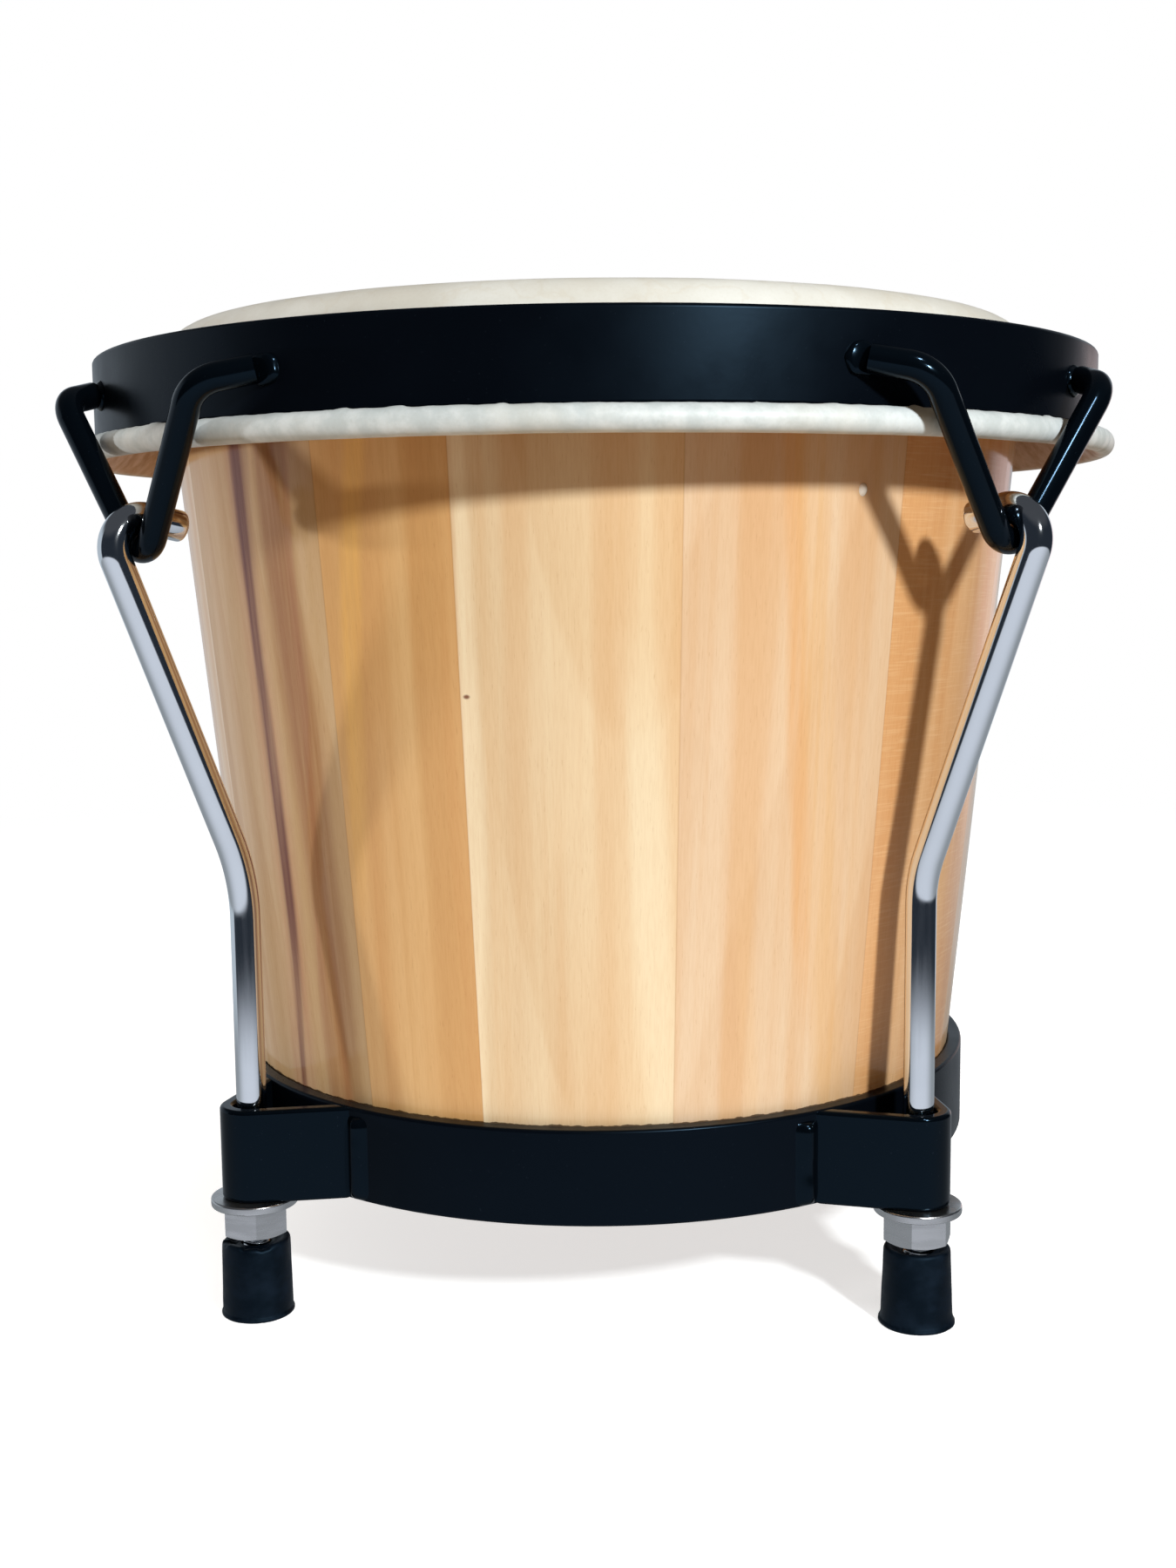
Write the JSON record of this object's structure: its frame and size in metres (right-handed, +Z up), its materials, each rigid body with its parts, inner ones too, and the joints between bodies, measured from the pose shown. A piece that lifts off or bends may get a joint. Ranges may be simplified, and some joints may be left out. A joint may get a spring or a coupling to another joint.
{
  "type": "hand drum",
  "caption": "Wooden hand drum of the bongo kind: conical stave shell, rolled skin head, black steel rim, hooked tension rods with tuning nuts, rubber feet.",
  "frame": {"origin": "on the drum's axis, at the bottom of the rubber feet", "axes": "+Z up along the drum's axis; the tension rods stand on the +X, +Y, -X and -Y axes"},
  "size_m": [0.223, 0.223, 0.1836],
  "materials": {
    "lacquered_wood": "clear gloss lacquer over pale, vertically grained wood",
    "rawhide": "natural, slightly mottled rawhide",
    "hoop_wire": "plain steel wire",
    "satin_black": "satin black paint",
    "gloss_black": "gloss black paint",
    "chrome_rod": "bright chrome plate",
    "zinc_steel": "bright zinc plate",
    "foot_rubber": "matt moulded rubber"
  },
  "bodies": {
    "root": {"stave_01": "lacquered_wood", "stave_02": "lacquered_wood", "stave_03": "lacquered_wood", "stave_04": "lacquered_wood", "stave_05": "lacquered_wood", "stave_06": "lacquered_wood", "stave_07": "lacquered_wood", "stave_08": "lacquered_wood", "stave_09": "lacquered_wood", "stave_10": "lacquered_wood", "stave_11": "lacquered_wood", "stave_12": "lacquered_wood", "stave_13": "lacquered_wood", "bottom_ring": "satin_black", "skin_playing_surface": "rawhide", "skin_collar": "rawhide", "lug_loop_right": "gloss_black", "lug_loop_back": "gloss_black", "lug_loop_left": "gloss_black", "lug_loop_front": "gloss_black", "washer_right": "zinc_steel", "washer_back": "zinc_steel", "washer_left": "zinc_steel", "washer_front": "zinc_steel"},
    "head": {"rim": "satin_black", "flesh_hoop": "hoop_wire", "skin_roll": "rawhide", "rim_ear_right": "gloss_black", "rim_ear_back": "gloss_black", "rim_ear_left": "gloss_black", "rim_ear_front": "gloss_black", "tension_rod_right": "chrome_rod", "tension_rod_back": "chrome_rod", "tension_rod_left": "chrome_rod", "tension_rod_front": "chrome_rod", "rubber_foot_right": "foot_rubber", "rubber_foot_back": "foot_rubber", "rubber_foot_left": "foot_rubber", "rubber_foot_front": "foot_rubber"},
    "nut_right": {"tuning_nut_right": "zinc_steel"},
    "nut_back": {"tuning_nut_back": "zinc_steel"},
    "nut_left": {"tuning_nut_left": "zinc_steel"},
    "nut_front": {"tuning_nut_front": "zinc_steel"}
  },
  "joints": [
    {"name": "head_tuning", "type": "slide", "parent": "root", "child": "head", "axis": [0, 0, 1], "range_m": [-0.003, 0.001], "deforming": ["skin_collar"]},
    {"name": "nut_right_turn", "type": "hinge", "parent": "root", "child": "nut_right", "pos_m": [0.086, 0, 0.0182], "axis": [0, 0, 1], "range_deg": [-290, 860]},
    {"name": "nut_back_turn", "type": "hinge", "parent": "root", "child": "nut_back", "pos_m": [0, 0.086, 0.0182], "axis": [0, 0, 1], "range_deg": [-290, 860]},
    {"name": "nut_left_turn", "type": "hinge", "parent": "root", "child": "nut_left", "pos_m": [-0.086, 0, 0.0182], "axis": [0, 0, 1], "range_deg": [-290, 860]},
    {"name": "nut_front_turn", "type": "hinge", "parent": "root", "child": "nut_front", "pos_m": [0, -0.086, 0.0182], "axis": [0, 0, 1], "range_deg": [-290, 860]}
  ],
  "couplings": [
    {"joint": "nut_right_turn", "follows": "head_tuning", "rad_per_m": -4947.4},
    {"joint": "nut_back_turn", "follows": "head_tuning", "rad_per_m": -4947.4},
    {"joint": "nut_left_turn", "follows": "head_tuning", "rad_per_m": -4947.4},
    {"joint": "nut_front_turn", "follows": "head_tuning", "rad_per_m": -4947.4}
  ]
}
